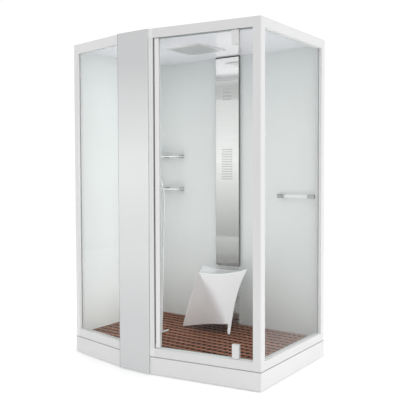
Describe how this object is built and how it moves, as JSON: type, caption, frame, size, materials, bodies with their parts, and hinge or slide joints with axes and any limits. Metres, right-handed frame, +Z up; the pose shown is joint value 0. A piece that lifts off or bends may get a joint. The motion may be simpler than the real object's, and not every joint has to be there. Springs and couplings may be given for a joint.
{
  "type": "steam shower cabin",
  "caption": "Enclosed steam shower cabin with bowed front, pivot glass door, technical column, panelled walls, timber deck, rain head and free-standing stool.",
  "frame": {"origin": "on the floor under the middle of the bounding box", "axes": "+Z up; the bowed front with the door faces -Y; the glass side faces +X; the panelled back faces +Y"},
  "size_m": [1.5, 1.02, 2.2],
  "materials": {
    "white_frame": "satin white powder coat",
    "white_acrylic": "smooth white acrylic",
    "wall_panel": "pale grey-green white, smooth",
    "clear_glass": "clear toughened glass",
    "grey_seal": "matt grey seal",
    "dark_timber": "oiled reddish brown hardwood",
    "galvanised": "zinc coated",
    "foot_rubber": "matt black",
    "grey_plastic": "moulded grey",
    "chrome": "polished",
    "bush_plastic": "self-lubricating white",
    "steel": "polished stainless steel",
    "brass_pipe": "drawn pipe",
    "jet_grey": "grey elastomer",
    "white_gloss": "glossy white",
    "shelf_glass": "white tinted glass",
    "silver_hose": "smooth silver"
  },
  "bodies": {
    "cabin": {"post_front_right": "white_frame", "post_rear_right": "white_frame", "post_front_left": "white_frame", "post_rear_left": "white_frame", "door_jamb": "white_frame", "column_post": "white_frame", "column_cross_rails": "white_frame", "bottom_rail_door": "white_frame", "bottom_rail_right": "white_frame", "bottom_rail_left_front": "white_frame", "top_rail_door": "white_frame", "top_rail_right": "white_frame", "top_rail_left_front": "white_frame", "shower_tray": "white_acrylic", "apron_door": "white_acrylic", "apron_left_front": "white_acrylic", "apron_right": "white_acrylic", "column_cover": "white_acrylic", "column_liner": "white_acrylic", "roof_panel": "white_acrylic", "back_panel_left": "wall_panel", "back_panel_right": "wall_panel", "left_panel": "wall_panel", "glass_right": "clear_glass", "glass_left_front": "clear_glass", "frame_seals": "grey_seal", "deck_grating": "dark_timber", "deck_runners": "dark_timber", "tray_frame": "galvanised", "levelling_feet": "foot_rubber", "waste_body": "grey_plastic", "control_box": "grey_plastic", "waste_grate": "chrome", "mixer_body": "chrome", "handset_holder": "chrome", "hose_elbow": "chrome", "steam_nozzle": "chrome", "shelf_clips": "chrome", "towel_bar_blocks": "chrome", "pivot_bushes": "bush_plastic", "shower_panel_upper": "steel", "shower_panel_lower": "steel", "rain_head": "steel", "steam_tank": "steel", "heating_element": "steel", "steam_pipe": "brass_pipe", "rain_feed_pipe": "brass_pipe", "jet_block": "jet_grey", "touch_keys": "jet_grey", "handset": "white_gloss", "towel_bar": "white_gloss", "shelf_panes": "shelf_glass", "shower_hose": "silver_hose"},
    "door": {"door_glass": "clear_glass", "door_stile": "white_frame", "pivot_patches": "white_frame", "door_seals": "grey_seal"},
    "temperature_knob": {"temperature_knob": "chrome"},
    "flow_knob": {"flow_knob": "chrome"},
    "stool": {"stool": "white_gloss"}
  },
  "joints": [
    {"name": "door_pivot", "type": "hinge", "parent": "cabin", "child": "door", "pos_m": [0.58429, -0.38544, 1.1], "axis": [0, 0, 1], "range_deg": [0, 90]},
    {"name": "temperature_turn", "type": "hinge", "parent": "cabin", "child": "temperature_knob", "pos_m": [-0.11, -0.37, 1.11], "axis": [0, 1, 0], "range_deg": [-90, 90]},
    {"name": "flow_turn", "type": "hinge", "parent": "cabin", "child": "flow_knob", "pos_m": [-0.11, -0.37, 1.01], "axis": [0, 1, 0], "range_deg": [-90, 90]},
    {"name": "stool_lift", "type": "slide", "parent": "cabin", "child": "stool", "axis": [0, 0, 1], "range_m": [0, 0.15]}
  ]
}
